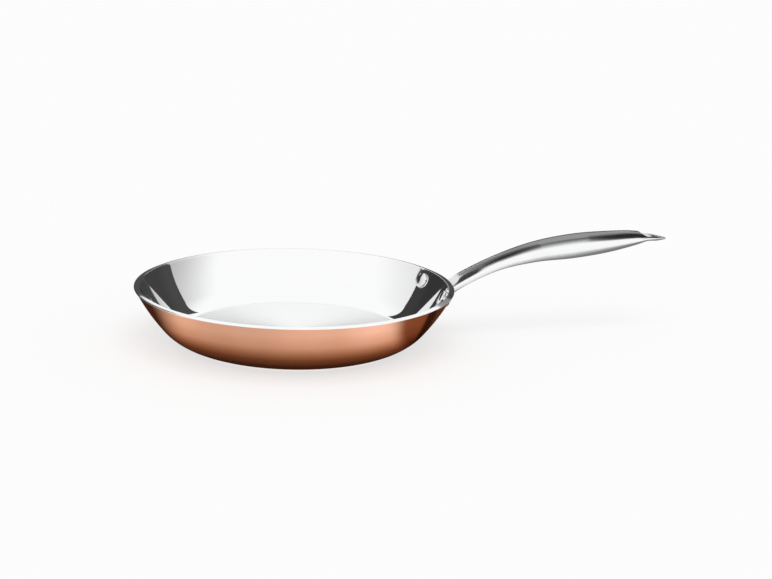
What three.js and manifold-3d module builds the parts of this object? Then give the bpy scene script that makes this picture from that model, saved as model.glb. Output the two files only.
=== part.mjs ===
// A frying pan, 24 cm across: a bowl of copper, aluminium and steel bonded in layers, and a hollow steel
// handle that a bracket and two rivets hold to its wall.
// Millimetres, +Z up. The origin is the middle of the flat base, and the handle runs out along +X.
import * as THREE from "three";
import { mergeVertices, toCreasedNormals } from "three/addons/utils/BufferGeometryUtils.js";
import Module from "manifold-3d";

// Bowl, measured on its outside
const RIM_DIAMETER = 240;
const PAN_HEIGHT = 43.5;
const BEND_RADIUS = 39; // the bend between base and wall
const WALL_RADIUS = 150; // the slow curve of the wall above the bend
const RIM_SLOPE = 63; // degrees from level, where the wall reaches the rim

// Layers of the bowl
const COPPER_THICKNESS = 0.7;
const CORE_THICKNESS = 2;
const LINING_THICKNESS = 0.8;
const FLOOR_LIFT = 3.4; // how much thicker the base is than the wall, all of it in the core
const RIM_LIP = 1.15; // height of the lining's edge, turned out over the other two layers
const RIM_OVERHANG = 0.5; // how far the lip stands out past the copper
const RIM_FALL = 0.85; // how much lower the sloping rim is at its outer edge
const RIM_EDGE = 0.3; // the broken inner edge of the rim

// Rivets
const RIVET_SPACING = 53; // between the two, measured on the inside
const RIVET_DROP = 8.2; // centre of the head below the rim
const SHANK_DIAMETER = 6;
const HEAD_DIAMETER = 11.6;
const HEAD_HEIGHT = 2.2;
const HEAD_EDGE = 0.6; // the straight part of the head's side
const TAIL_DIAMETER = 8.4; // the head formed on the outside
const TAIL_HEIGHT = 0.9;

// Bracket
const PLATE_THICKNESS = 1.6;
const PLATE_EAR = 13; // height of the plate's round ends
const PLATE_DROP = 11.5; // how far its middle reaches below the line of the rivets
const TONGUE_REACH = 15; // how far the tongue goes into the handle

// Handle, measured from the root, on the bracket's outer face
const ROOT_DROP = 7; // the root below the rim
const HANDLE_REACH = 181.3; // level distance to the tip
const HANDLE_RISE = 35.9; // of the seam at the tail
const HANDLE_WALL = 1.2;
const ROOT_SLOPE = 29.5; // degrees from level
const NECK_REACH = 16.5; // the end of the straight root

// Sections of the handle: the width across it, and the upright distances above and below the seam.
// The arm's are placed by their share of the way from neck to shoulder and their share of the lift between,
// and the tail's by how far back they are from the tip and how far the seam drops there.
const ROOT = { width: 18.2, above: 6, below: 6.1 };
const NECK = { width: 18, above: 5.7, below: 5.8 };
const ARM = { share: 0.19, lift: 0.43, width: 18.6, above: 6.1, below: 6.1 };
const SWELL = { share: 0.4, lift: 0.71, width: 22.2, above: 7.9, below: 7.9 };
const GRIP = { share: 0.63, lift: 0.845, width: 24.6, above: 9.4, below: 9.4 };
const PALM = { share: 0.83, lift: 0.93, width: 23, above: 8.3, below: 8 };
const SHOULDER = { back: 24.5, drop: 0.4, width: 18, above: 5.9, below: 4.5 };
const BEAK = { back: 16.5, drop: 0, width: 14.4, above: 4, below: 2.5 };
const NIB = { back: 7.5, drop: 0.2, width: 10.4, above: 2.1, below: 2.5 };
const TIP = { back: 0, drop: 1, width: 3.2, above: 0.8, below: 1 };

// Flats pressed into the top of the handle at both ends
const ROOT_FLAT_HEIGHT = 2.7; // above the seam
const ROOT_FLAT_LENGTH = 9;
const ROOT_FLAT_RADIUS = 14.5; // the curve that ends the flat
const TAIL_FLAT_HEIGHT = 1.8;
const TAIL_FLAT_LENGTH = 14.5;
const TAIL_FLAT_RADIUS = 11;

// Clearances
const BOND_GAP = 0.05; // between bonded layers
const WELD_GAP = 0.1; // between the welded halves of the handle
const SEAT_GAP = 0.3; // between pieces that seat on, or pass through, each other

// Facets
const BOWL_SEGMENTS = 60;
const BEND_STEPS = 5;
const WALL_STEPS = 3;
const RIVET_SEGMENTS = 24;
const DOME_STEPS = 4;
const SECTION_POINTS = 20;
const STEP_LENGTH = 7.5; // along the handle's arm
const FINE_STEP = 3; // along its root and tail
const ARC_STEPS = 8;
const CREASE_ANGLE = 25; // degrees, above which an edge is drawn sharp
const MERGE_DISTANCE = 1e-4;
const EXCESS = 30; // how far a cutting solid stands out past what it cuts

const COPPER = { color: "#cf9069", roughness: 0.28, metalness: 1 };
const ALUMINIUM = { color: "#b4b6b9", roughness: 0.45, metalness: 1 };
const MIRROR_STEEL = { color: "#dedede", roughness: 0.08, metalness: 1 };
const SATIN_STEEL = { color: "#c9cacb", roughness: 0.25, metalness: 1 };

const wasm = await Module();
wasm.setup();
const { degToRad, lerp } = THREE.MathUtils;

// A closed geometry as a solid that can be joined and cut.
function solid(geometry) {
  const bare = geometry.clone();
  bare.deleteAttribute("normal");
  bare.deleteAttribute("uv");
  const merged = mergeVertices(bare, MERGE_DISTANCE);
  return new wasm.Manifold(
    new wasm.Mesh({
      numProp: 3,
      vertProperties: new Float32Array(merged.attributes.position.array),
      triVerts: new Uint32Array(merged.index.array),
    }),
  );
}

// A named mesh of a solid, with sharp edges kept sharp.
function piece(name, shape, look) {
  const { vertProperties, triVerts } = shape.getMesh();
  const geometry = new THREE.BufferGeometry();
  geometry.setAttribute("position", new THREE.BufferAttribute(vertProperties, 3));
  geometry.setIndex(new THREE.BufferAttribute(triVerts, 1));
  const mesh = new THREE.Mesh(
    toCreasedNormals(geometry, degToRad(CREASE_ANGLE)),
    new THREE.MeshStandardMaterial(look),
  );
  mesh.name = name;
  return mesh;
}

// A profile of radius and height, turned round the Z axis.
function turned(profile, segments) {
  return solid(new THREE.LatheGeometry(profile, segments).rotateX(Math.PI / 2));
}

// A flat outline, made thick to both sides.
function extruded(outline) {
  const settings = { depth: 2 * EXCESS, bevelEnabled: false, curveSegments: ARC_STEPS };
  return new THREE.ExtrudeGeometry(outline, settings).translate(0, 0, -EXCESS);
}

// An outline in X and Z, stretched across the handle.
function acrossHandle(outline) {
  return extruded(outline).rotateX(Math.PI / 2);
}

// Bowl: two arcs that meet at the bend's top, worked out so that the wall reaches the rim at its slope
const rimSlope = degToRad(RIM_SLOPE);
const wallThickness = COPPER_THICKNESS + CORE_THICKNESS + LINING_THICKNESS + 2 * BOND_GAP;
const radiusStep = WALL_RADIUS - BEND_RADIUS;
const bendAngle = Math.acos((PAN_HEIGHT - BEND_RADIUS + WALL_RADIUS * Math.cos(rimSlope)) / radiusStep);
const baseRadius =
  RIM_DIAMETER / 2 - WALL_RADIUS * Math.sin(rimSlope) + radiusStep * Math.sin(bendAngle);
const bendCentre = new THREE.Vector2(baseRadius, BEND_RADIUS);
const wallCentre = new THREE.Vector2(
  baseRadius - radiusStep * Math.sin(bendAngle),
  BEND_RADIUS + radiusStep * Math.cos(bendAngle),
);

// The point of an arc where its slope from level is the angle.
function onArc(centre, radius, angle) {
  return new THREE.Vector2(centre.x + radius * Math.sin(angle), centre.y - radius * Math.cos(angle));
}

// Depth is measured into the wall from its outer face, so a negative depth lies outside the bowl.
function wallSlopeAt(height, depth) {
  return Math.acos((wallCentre.y - height) / (WALL_RADIUS - depth));
}

function wallPoint(height, depth) {
  return onArc(wallCentre, WALL_RADIUS - depth, wallSlopeAt(height, depth));
}

// The bowl's curve at a depth, from the axis outward and up to a height. A floor that is lifted above the
// foot of the bend meets the bend part of the way up.
function bowlCurve(depth, lift, top) {
  const radius = BEND_RADIUS - depth;
  const floorSlope = Math.acos(1 - lift / radius);
  const curve = [new THREE.Vector2(0, depth + lift)];
  for (let i = 0; i <= BEND_STEPS; i++) {
    curve.push(onArc(bendCentre, radius, lerp(floorSlope, bendAngle, i / BEND_STEPS)));
  }
  for (let i = 1; i < WALL_STEPS; i++) {
    curve.push(onArc(wallCentre, WALL_RADIUS - depth, lerp(bendAngle, rimSlope, i / WALL_STEPS)));
  }
  curve.push(wallPoint(top, depth));
  return curve;
}

// One layer of the bowl between two depths, cut level at the top.
function layer(outerDepth, innerDepth, innerLift, top) {
  const outside = bowlCurve(outerDepth, 0, top);
  const inside = bowlCurve(innerDepth, innerLift, top).reverse();
  return turned([...outside, ...inside], BOWL_SEGMENTS);
}

const coreDepth = COPPER_THICKNESS + BOND_GAP;
const liningDepth = wallThickness - LINING_THICKNESS;
const underLip = PAN_HEIGHT - RIM_LIP;

// The lining is one curve up its outside, out under the rim's lip, over the rim and down the inside.
function liningBody() {
  const rimInner = wallPoint(PAN_HEIGHT - RIM_EDGE, wallThickness);
  const rim = [
    wallPoint(underLip, -RIM_OVERHANG),
    wallPoint(PAN_HEIGHT - RIM_FALL, -RIM_OVERHANG),
    new THREE.Vector2(rimInner.x + RIM_EDGE, PAN_HEIGHT),
  ];
  const outside = bowlCurve(liningDepth, FLOOR_LIFT, underLip);
  const inside = bowlCurve(wallThickness, FLOOR_LIFT, PAN_HEIGHT - RIM_EDGE).reverse();
  return turned([...outside, ...rim, ...inside], BOWL_SEGMENTS);
}

// All the space inside a surface that runs outside the bowl at a clearance, also some way above the rim.
function bowlSpace(clearance) {
  const curve = bowlCurve(-clearance, 0, PAN_HEIGHT);
  for (let i = 1; i <= WALL_STEPS; i++) {
    curve.push(onArc(wallCentre, WALL_RADIUS + clearance, lerp(rimSlope, Math.PI / 2, i / WALL_STEPS)));
  }
  return turned([...curve, new THREE.Vector2(0, wallCentre.y)], BOWL_SEGMENTS);
}

// Rivets: square to the wall, on the lining's inner face, with +Z pointing into the bowl
const rivetHeight = PAN_HEIGHT - RIVET_DROP;
const rivetSlope = wallSlopeAt(rivetHeight, wallThickness);
const rivetSeat = wallPoint(rivetHeight, wallThickness);
const rivetTurn = Math.asin(RIVET_SPACING / 2 / rivetSeat.x);
const rivetStack = wallThickness + SEAT_GAP + PLATE_THICKNESS;

function rivetPlace(side) {
  const seat = new THREE.Matrix4().makeRotationY(-rivetSlope);
  seat.setPosition(rivetSeat.x, 0, rivetSeat.y);
  return seat.premultiply(new THREE.Matrix4().makeRotationZ(side * rivetTurn));
}

function rivetHoles() {
  const hole = new THREE.CylinderGeometry(
    SHANK_DIAMETER / 2 + SEAT_GAP,
    SHANK_DIAMETER / 2 + SEAT_GAP,
    2 * EXCESS,
    RIVET_SEGMENTS,
  ).rotateX(Math.PI / 2);
  const [left, right] = [1, -1].map((side) => solid(hole.clone().applyMatrix4(rivetPlace(side))));
  return left.add(right);
}

// A dome's curve from its edge to the axis.
function dome(radius, foot, height) {
  const curve = [];
  for (let i = 0; i <= DOME_STEPS; i++) {
    const angle = (Math.PI / 2) * (i / DOME_STEPS);
    curve.push(new THREE.Vector2(radius * Math.cos(angle), foot + height * Math.sin(angle)));
  }
  curve[DOME_STEPS].x = 0;
  return curve;
}

// The flat underside of the head clears the hollow curve of the wall under it.
function rivetBody() {
  const wallCurve = rivetSeat.x / Math.sin(rivetSlope);
  const headSeat = SEAT_GAP + (HEAD_DIAMETER / 2) ** 2 / (2 * wallCurve);
  const tailSeat = -(rivetStack + SEAT_GAP);
  const shank = SHANK_DIAMETER / 2;
  const tail = dome(TAIL_DIAMETER / 2, tailSeat, -TAIL_HEIGHT).reverse();
  const head = dome(HEAD_DIAMETER / 2, headSeat + HEAD_EDGE, HEAD_HEIGHT - HEAD_EDGE);
  return turned(
    [
      ...tail,
      new THREE.Vector2(shank, tailSeat),
      new THREE.Vector2(shank, headSeat),
      new THREE.Vector2(HEAD_DIAMETER / 2, headSeat),
      ...head,
    ],
    RIVET_SEGMENTS,
  );
}

function rivet(name, side) {
  const mesh = piece(name, rivetBody(), MIRROR_STEEL);
  mesh.applyMatrix4(rivetPlace(side));
  return mesh;
}

// Handle: a loft through the sections, which starts buried in the bracket and is then cut to it
const rootSlope = degToRad(ROOT_SLOPE);
const rootOnWall = wallSlopeAt(PAN_HEIGHT - ROOT_DROP, wallThickness);
const root = onArc(wallCentre, WALL_RADIUS + SEAT_GAP + PLATE_THICKNESS, rootOnWall);
const neckRise = NECK_REACH * Math.tan(rootSlope);
const shoulderReach = HANDLE_REACH - SHOULDER.back;
const shoulderRise = HANDLE_RISE - SHOULDER.drop;

function onRoot(section, reach) {
  return { ...section, reach, rise: reach * Math.tan(rootSlope) };
}

function onArm(section) {
  const reach = lerp(NECK_REACH, shoulderReach, section.share);
  return { ...section, reach, rise: lerp(neckRise, shoulderRise, section.lift) };
}

function onTail(section) {
  return { ...section, reach: HANDLE_REACH - section.back, rise: HANDLE_RISE - section.drop };
}

const sections = [
  onRoot(ROOT, -EXCESS / 2),
  onRoot(ROOT, 0),
  onRoot(NECK, NECK_REACH),
  ...[ARM, SWELL, GRIP, PALM].map(onArm),
  ...[SHOULDER, BEAK, NIB, TIP].map(onTail),
];
const sectionCurve = new THREE.CubicInterpolant(
  sections.map((section) => section.reach),
  sections.flatMap(({ rise, width, above, below }) => [rise, width / 2, above, below]),
  4,
);

function sectionAt(reach) {
  const [rise, halfWidth, above, below] = sectionCurve.evaluate(reach);
  return { rise, halfWidth, above, below };
}

// Reaches for the loft: short steps at root and tail, longer ones along the arm.
function handleSteps(end) {
  const stretches = [
    [-EXCESS / 2, NECK_REACH, FINE_STEP],
    [NECK_REACH, shoulderReach, STEP_LENGTH],
    [shoulderReach, HANDLE_REACH, FINE_STEP],
  ];
  const steps = [];
  for (const [from, to, step] of stretches) {
    const count = Math.ceil((to - from) / step);
    for (let i = 0; i < count; i++) steps.push(lerp(from, to, i / count));
  }
  return [...steps.filter((reach) => reach < end - FINE_STEP / 2), end];
}

// Rings of points joined by faces, with a flat cap at each end.
function loft(rings) {
  const size = rings[0].length;
  const faces = [];
  for (let ring = 0; ring + 1 < rings.length; ring++) {
    for (let i = 0; i < size; i++) {
      const a = ring * size + i;
      const b = ring * size + ((i + 1) % size);
      faces.push(a, b, b + size, a, b + size, a + size);
    }
  }
  const last = (rings.length - 1) * size;
  for (let i = 1; i + 1 < size; i++) {
    faces.push(0, i + 1, i, last, last + i, last + i + 1);
  }
  const geometry = new THREE.BufferGeometry().setFromPoints(rings.flat());
  return geometry.setIndex(faces);
}

// The handle's body drawn in by an inset, as far as a reach.
function handleLoft(inset, end) {
  const rings = handleSteps(end).map((reach) => {
    const { rise, halfWidth, above, below } = sectionAt(reach);
    const ring = [];
    for (let i = 0; i < SECTION_POINTS; i++) {
      const angle = (2 * Math.PI * i) / SECTION_POINTS;
      const height = Math.sin(angle) > 0 ? above - inset : below - inset;
      const across = (halfWidth - inset) * Math.cos(angle);
      ring.push(new THREE.Vector3(root.x + reach, across, root.y + rise + height * Math.sin(angle)));
    }
    return ring;
  });
  return solid(loft(rings));
}

// What is cut away above a flat: a straight floor that ends in a curve up and out of the body.
function flatCut(floor, length, radius) {
  const outline = new THREE.Shape();
  outline.moveTo(-EXCESS, floor);
  outline.lineTo(length, floor);
  outline.absarc(length, floor + radius, radius, -Math.PI / 2, 0, false);
  outline.lineTo(length + radius, floor + radius + EXCESS);
  outline.lineTo(-EXCESS, floor + radius + EXCESS);
  return acrossHandle(outline);
}

// The root's flat follows the slope of the root, and the tail's is level and runs in from the tip.
function rootFlat(inset) {
  const cut = flatCut(ROOT_FLAT_HEIGHT - inset, ROOT_FLAT_LENGTH, ROOT_FLAT_RADIUS + inset);
  return solid(cut.rotateY(-rootSlope).translate(root.x, 0, root.y));
}

function tailFlat(inset) {
  const cut = flatCut(TAIL_FLAT_HEIGHT - inset, TAIL_FLAT_LENGTH, TAIL_FLAT_RADIUS + inset);
  return solid(cut.rotateZ(Math.PI).translate(root.x + HANDLE_REACH, 0, root.y + HANDLE_RISE));
}

function handleBody(inset, end) {
  return handleLoft(inset, end).subtract(rootFlat(inset)).subtract(tailFlat(inset));
}

// The space on one side of the seam, which follows the middle of the sections.
function besideSeam(side) {
  const line = handleSteps(HANDLE_REACH).map((reach) => {
    return new THREE.Vector2(root.x + reach, root.y + sectionAt(reach).rise + (side * WELD_GAP) / 2);
  });
  const start = new THREE.Vector2(line[0].x - 1, line[0].y);
  const end = new THREE.Vector2(line.at(-1).x + 1, line.at(-1).y);
  const far = root.y + side * (HANDLE_RISE + 2 * EXCESS);
  const outline = new THREE.Shape([
    start,
    ...line,
    end,
    new THREE.Vector2(end.x, far),
    new THREE.Vector2(start.x, far),
  ]);
  return solid(acrossHandle(outline));
}

function handleShell() {
  const hollow = handleBody(HANDLE_WALL, shoulderReach);
  const bracketSpace = bowlSpace(SEAT_GAP + PLATE_THICKNESS + SEAT_GAP);
  return handleBody(0, HANDLE_REACH).subtract(hollow).subtract(bracketSpace);
}

// Bracket: a plate that follows the wall, with round ends about the rivets and a deeper middle
function plateOutline() {
  const ear = PLATE_EAR / 2;
  const earCentre = (rivetSeat.x + wallThickness * Math.sin(rivetSlope)) * Math.sin(rivetTurn);
  const outline = new THREE.Shape();
  outline.moveTo(earCentre, ear);
  outline.lineTo(-earCentre, ear);
  outline.absarc(-earCentre, 0, ear, Math.PI / 2, (3 * Math.PI) / 2, false);
  outline.bezierCurveTo(-earCentre / 2, -ear, -earCentre / 2, -PLATE_DROP, 0, -PLATE_DROP);
  outline.bezierCurveTo(earCentre / 2, -PLATE_DROP, earCentre / 2, -ear, earCentre, -ear);
  outline.absarc(earCentre, 0, ear, -Math.PI / 2, Math.PI / 2, false);
  return outline;
}

function bracketPlate() {
  const blank = extruded(plateOutline());
  const middle = onArc(wallCentre, WALL_RADIUS, rivetSlope);
  const upWall = new THREE.Vector3(Math.cos(rivetSlope), 0, Math.sin(rivetSlope));
  const across = new THREE.Vector3(0, 1, 0);
  const facing = new THREE.Matrix4().makeBasis(across, upWall, across.clone().cross(upWall));
  blank.applyMatrix4(facing.setPosition(middle.x, 0, middle.y));
  const band = bowlSpace(SEAT_GAP + PLATE_THICKNESS).subtract(bowlSpace(SEAT_GAP));
  return solid(blank).intersect(band);
}

function bracketBody() {
  const tongue = handleBody(HANDLE_WALL + SEAT_GAP, TONGUE_REACH).subtract(bowlSpace(SEAT_GAP));
  return bracketPlate().add(tongue).subtract(rivetHoles());
}

// The pan
const shell = handleShell();
const pan = new THREE.Group();
pan.add(
  piece("copper_shell", layer(0, COPPER_THICKNESS, 0, underLip - BOND_GAP).subtract(rivetHoles()), COPPER),
  piece(
    "aluminium_core",
    layer(coreDepth, liningDepth - BOND_GAP, FLOOR_LIFT, underLip - BOND_GAP).subtract(rivetHoles()),
    ALUMINIUM,
  ),
  piece("steel_lining", liningBody().subtract(rivetHoles()), MIRROR_STEEL),
  piece("handle_bracket", bracketBody(), SATIN_STEEL),
  piece("handle_upper_shell", shell.intersect(besideSeam(1)), SATIN_STEEL),
  piece("handle_lower_shell", shell.intersect(besideSeam(-1)), SATIN_STEEL),
  rivet("rivet_left", 1),
  rivet("rivet_right", -1),
);

export default pan;
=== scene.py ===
"""A frying pan, 24 cm across: copper outside, mirror-polished steel inside, and a hollow steel handle.

Metres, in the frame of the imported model: +Z up, the origin in the middle of the base, the handle along +X.
"""
import math
from collections import namedtuple

import bmesh
import bpy
from mathutils import Matrix, Vector


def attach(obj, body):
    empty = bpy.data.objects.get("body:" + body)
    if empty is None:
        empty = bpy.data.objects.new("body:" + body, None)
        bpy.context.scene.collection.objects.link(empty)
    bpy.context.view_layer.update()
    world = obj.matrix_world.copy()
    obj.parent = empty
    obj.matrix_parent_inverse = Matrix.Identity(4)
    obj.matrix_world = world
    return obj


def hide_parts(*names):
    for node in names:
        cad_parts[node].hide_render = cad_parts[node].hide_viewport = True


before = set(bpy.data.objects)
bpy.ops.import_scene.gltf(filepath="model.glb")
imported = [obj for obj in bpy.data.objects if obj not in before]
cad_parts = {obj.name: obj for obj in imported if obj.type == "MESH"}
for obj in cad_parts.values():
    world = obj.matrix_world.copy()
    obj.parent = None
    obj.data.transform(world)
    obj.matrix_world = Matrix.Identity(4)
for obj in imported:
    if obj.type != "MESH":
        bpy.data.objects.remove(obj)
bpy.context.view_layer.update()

MM = 0.001
BODY = "root"

# Bowl, measured on its outside
RIM_RADIUS = 120 * MM
PAN_HEIGHT = 43.5 * MM
BEND_RADIUS = 39 * MM  # from the base to the wall
WALL_RADIUS = 150 * MM  # the wall's own gentle curve
RIM_SLOPE = math.radians(63)  # the wall's slope at the rim, from level

# Layers of the bowl
COPPER_THICKNESS = 0.7 * MM
CORE_THICKNESS = 2 * MM
LINING_THICKNESS = 0.8 * MM
BOND_GAP = 0.05 * MM
FLOOR_LIFT = 3.4 * MM  # how much thicker the base is than the wall, all of it in the core
FLOOR_CREASE = 1.5 * MM  # rounding where the floor meets the wall
RIM_LIP = 1.15 * MM  # the lip's underside, below the top of the rim
RIM_OVERHANG = 0.5 * MM  # how far the lip stands out past the copper
RIM_FALL = 0.85 * MM  # how much lower the sloping rim is at its outer edge
RIM_EDGE = 0.25 * MM  # rounding of the rim's inner edge
RIM_BURR = 0.1 * MM  # and of its outer edge

# Rivets
RIVET_SPACING = 53 * MM
RIVET_DROP = 8.2 * MM  # the rivets below the rim
SHANK_RADIUS = 3 * MM
HEAD_RADIUS = 5.8 * MM
HEAD_HEIGHT = 2.2 * MM
HEAD_EDGE = 0.6 * MM  # the straight edge under the head's dome
TAIL_RADIUS = 4.2 * MM
TAIL_HEIGHT = 0.9 * MM
SEAT_GAP = 0.3 * MM  # between riveted pieces, and round the bracket's tongue

# Bracket
PLATE_THICKNESS = 1.6 * MM
PLATE_EAR = 6.5 * MM  # radius of the plate's round ends
PLATE_DROP = 11.5 * MM  # how far its middle reaches below the line of the rivets
PLATE_EDGE = 0.4 * MM
TONGUE_REACH = 15 * MM

# Handle, measured from its root on the bracket's outer face
ROOT_DROP = 7 * MM  # the root below the rim
HANDLE_REACH = 181.3 * MM
HANDLE_RISE = 35.9 * MM
HANDLE_WALL = 1.2 * MM
ROOT_SLOPE = math.radians(29.5)
NECK_REACH = 16.5 * MM  # where the straight root ends
BURIED = 15 * MM  # how far the body starts inside the bracket, before it is cut to it
SHOULDER_BACK = 24.5 * MM  # from the tip back to where the body narrows
SHOULDER_DROP = 0.4 * MM  # the seam there, below its highest level

# Flats pressed into the handle's top: height over the seam, straight length, and curve up out of the flat
ROOT_FLAT_HEIGHT = 2.7 * MM
ROOT_FLAT_LENGTH = 9 * MM
ROOT_FLAT_CURVE = 14.5 * MM
TAIL_FLAT_HEIGHT = 1.8 * MM
TAIL_FLAT_LENGTH = 14.5 * MM
TAIL_FLAT_CURVE = 11 * MM

# Smoothness of the meshes
BOWL_SEGMENTS = 288
BEND_STEPS = 18
WALL_STEPS = 18
RIM_STEPS = 4
PLATE_STEPS = 3
FLAT_MARGIN = 0.4 * MM  # a narrow ring at the edge of a flat, which keeps the flat's shading flat
RIVET_SEGMENTS = 64
DOME_STEPS = 12
HALF_SECTION_STEPS = 44
SEAM_ROW = math.radians(1)  # a narrow row beside the seam, so that both halves shade as one there
HANDLE_STEP = 2 * MM
CURVE_STEPS = 24
SMOOTH_ANGLE = math.radians(28)
DOUBLES = 1e-7
EXCESS = 30 * MM  # how far a cutting solid stands out past what it cuts

ALONG = Vector((1, 0, 0))
ACROSS = Vector((0, 1, 0))
UP = Vector((0, 0, 1))


# Editing
def start_at(name, place):
    """A new piece in edit mode: a plane merged to one vertex at a place."""
    bpy.ops.object.select_all(action="DESELECT")
    bpy.ops.mesh.primitive_plane_add(size=MM, location=place)
    piece = bpy.context.object
    piece.name = name
    piece.data.name = name
    bpy.ops.object.transform_apply()
    bpy.ops.object.mode_set(mode="EDIT")
    bpy.ops.mesh.merge(type="CENTER")
    return piece


def select_where(test):
    """Selects the vertices whose place passes a test, and nothing else."""
    mesh = bmesh.from_edit_mesh(bpy.context.object.data)
    for vertex in mesh.verts:
        vertex.select_set(test(vertex.co))
    mesh.select_flush_mode()


def select_at(*places):
    select_where(lambda place: any((place - Vector(other)).length < DOUBLES for other in places))


def pen_place():
    """Where the selected vertex is."""
    mesh = bmesh.from_edit_mesh(bpy.context.object.data)
    return next(vertex.co.copy() for vertex in mesh.verts if vertex.select)


def draw_to(place):
    """Extrudes the selected vertex to a place."""
    bpy.ops.mesh.extrude_region_move(TRANSFORM_OT_translate={"value": Vector(place) - pen_place()})


def turn(centre, axis, angle, steps):
    """Spins what is selected, right-handed about an axis. The operator itself turns the other way."""
    bpy.ops.mesh.spin(steps=steps, angle=-angle, center=centre, axis=axis)


def clean(piece):
    """Ends edit mode on a closed mesh with its faces outward."""
    bpy.ops.mesh.select_all(action="SELECT")
    bpy.ops.mesh.remove_doubles(threshold=DOUBLES)
    bpy.ops.mesh.normals_make_consistent(inside=False)
    bpy.ops.object.mode_set(mode="OBJECT")
    return piece


def only(piece):
    """Makes a piece the one that operators act on."""
    bpy.ops.object.select_all(action="DESELECT")
    piece.select_set(True)
    bpy.context.view_layer.objects.active = piece


def finish_with(piece, kind, **settings):
    """Adds a modifier with its settings and applies it."""
    only(piece)
    modifier = piece.modifiers.new(kind.lower(), kind)
    for setting, value in settings.items():
        setattr(modifier, setting, value)
    bpy.ops.object.modifier_apply(modifier=modifier.name)


def combine(piece, other, operation):
    """Joins, cuts or keeps a piece by another solid, which is used up."""
    finish_with(piece, "BOOLEAN", object=other, operation=operation, solver="EXACT")
    bpy.data.objects.remove(other)


def placed(piece, place):
    """Puts a piece where a matrix says, with its place in its mesh."""
    only(piece)
    piece.matrix_world = place
    bpy.ops.object.transform_apply(location=True, rotation=True, scale=True)
    return piece


# Bowl: two arcs that meet at the bend's top, drawn in X and Z, with X as the radius
wall_thickness = COPPER_THICKNESS + CORE_THICKNESS + LINING_THICKNESS + 2 * BOND_GAP
core_depth = COPPER_THICKNESS + BOND_GAP
lining_depth = wall_thickness - LINING_THICKNESS
under_lip = PAN_HEIGHT - RIM_LIP
layer_top = under_lip - BOND_GAP
radius_step = WALL_RADIUS - BEND_RADIUS
bend_angle = math.acos((PAN_HEIGHT - BEND_RADIUS + WALL_RADIUS * math.cos(RIM_SLOPE)) / radius_step)
base_radius = RIM_RADIUS - WALL_RADIUS * math.sin(RIM_SLOPE) + radius_step * math.sin(bend_angle)
bend_centre = Vector((base_radius, 0, BEND_RADIUS))
wall_centre = bend_centre + radius_step * Vector((-math.sin(bend_angle), 0, math.cos(bend_angle)))
CLIMB = -ACROSS  # the axis about which the bowl's curve turns on its way up


def slope_at(height, depth):
    """The wall's slope from level at a height. Depth is measured into the wall from its outer face."""
    return math.acos((wall_centre.z - height) / (WALL_RADIUS - depth))


def wall_point(height, depth):
    slope = slope_at(height, depth)
    return wall_centre + (WALL_RADIUS - depth) * Vector((math.sin(slope), 0, -math.cos(slope)))


def floor_slope(depth, lift):
    """The bend's slope where a floor, lifted above the bend's foot, meets it."""
    return math.acos(1 - lift / (BEND_RADIUS - depth))


def floor_edge(depth, lift):
    slope = floor_slope(depth, lift)
    return bend_centre + (BEND_RADIUS - depth) * Vector((math.sin(slope), 0, -math.cos(slope)))


def draw_bowl_up(depth, lift, top):
    """The bowl's curve from the axis outward, and up to a height."""
    edge = floor_edge(depth, lift)
    draw_to(edge - FLAT_MARGIN * ALONG)
    draw_to(edge)
    turn(bend_centre, CLIMB, bend_angle - floor_slope(depth, lift), BEND_STEPS)
    turn(wall_centre, CLIMB, slope_at(top, depth) - bend_angle, WALL_STEPS)


def draw_bowl_down(depth, lift, top):
    """The same curve from a height down, and in to the axis."""
    edge = floor_edge(depth, lift)
    draw_to(wall_point(top, depth))
    turn(wall_centre, CLIMB, bend_angle - slope_at(top, depth), WALL_STEPS)
    turn(bend_centre, CLIMB, floor_slope(depth, lift) - bend_angle, BEND_STEPS)
    draw_to((0, 0, edge.z))


def spin_round(piece, segments):
    """Turns the drawn profile once round the Z axis."""
    bpy.ops.mesh.select_all(action="SELECT")
    turn((0, 0, 0), UP, 2 * math.pi, segments)
    return clean(piece)


def bowl_layer(name, outer_depth, inner_depth, inner_lift, top):
    layer = start_at(name, (0, 0, outer_depth))
    draw_bowl_up(outer_depth, 0, top)
    draw_bowl_down(inner_depth, inner_lift, top)
    return spin_round(layer, BOWL_SEGMENTS)


def lining_body(name):
    """The lining's outside, then out under the lip, over the rim and down the inside."""
    rim_outer = wall_point(PAN_HEIGHT - RIM_FALL, -RIM_OVERHANG)
    rim_inner = wall_point(PAN_HEIGHT, wall_thickness)
    lining = start_at(name, (0, 0, lining_depth + FLOOR_LIFT))
    draw_bowl_up(lining_depth, FLOOR_LIFT, under_lip)
    draw_to(wall_point(under_lip, -RIM_OVERHANG))
    draw_to(rim_outer)
    draw_bowl_down(wall_thickness, FLOOR_LIFT, PAN_HEIGHT)
    crease = floor_edge(wall_thickness, FLOOR_LIFT)
    for corner, rounding in ((rim_inner, RIM_EDGE), (rim_outer, RIM_BURR), (crease, FLOOR_CREASE)):
        select_at(corner)
        bpy.ops.mesh.bevel(affect="VERTICES", offset=rounding, segments=RIM_STEPS)
    return spin_round(lining, BOWL_SEGMENTS)


def bowl_space(clearance):
    """All the space inside a surface that runs outside the bowl at a clearance, also above the rim."""
    space = start_at("bowl_space", (0, 0, -clearance))
    draw_to((base_radius, 0, -clearance))
    turn(bend_centre, CLIMB, bend_angle, BEND_STEPS)
    turn(wall_centre, CLIMB, math.pi / 2 - bend_angle, WALL_STEPS)
    draw_to((0, 0, wall_centre.z))
    return spin_round(space, BOWL_SEGMENTS)


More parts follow.
